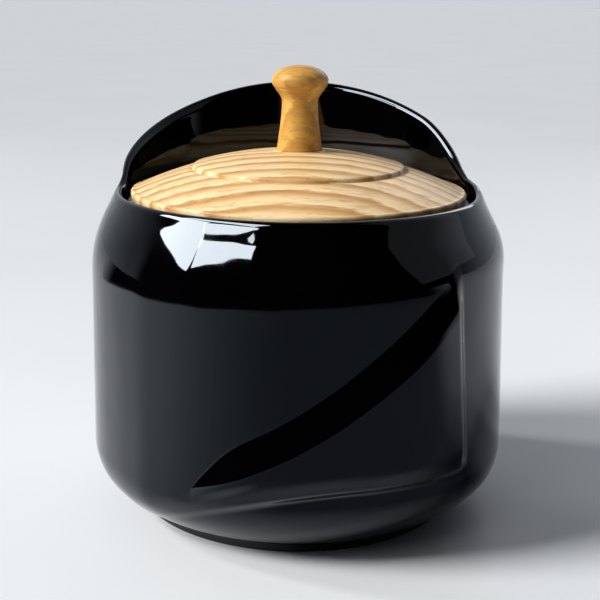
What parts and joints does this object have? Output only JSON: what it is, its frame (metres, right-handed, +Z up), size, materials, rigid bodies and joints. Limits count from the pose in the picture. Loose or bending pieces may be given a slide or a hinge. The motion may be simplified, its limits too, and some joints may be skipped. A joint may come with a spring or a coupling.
{
  "type": "sugar bowl",
  "caption": "Squat glazed sugar bowl with a raised back and swept front relief, and a domed wooden lid with a turned knob that lifts straight off.",
  "frame": {"origin": "on the table, on the bowl's axis, in the middle of the foot ring", "axes": "+Z up through the lid's knob, -Y towards the front with the swept relief, +Y towards the raised back, +X to the right of someone who looks at the front"},
  "size_m": [0.1212, 0.1231, 0.129],
  "materials": {
    "black_glaze": "gloss",
    "lid_pine": "satin lacquer",
    "clear_silicone": "satin",
    "knob_pine": "satin lacquer",
    "screw_steel": "satin"
  },
  "bodies": {
    "bowl": {"bowl_body": "black_glaze"},
    "lid": {"lid_disc": "lid_pine", "lid_seal_ring": "clear_silicone", "lid_knob": "knob_pine", "knob_screw": "screw_steel"}
  },
  "joints": [
    {"name": "lid_lift", "type": "slide", "parent": "bowl", "child": "lid", "axis": [0, 0, 1], "range_m": [0, 0.06]}
  ]
}
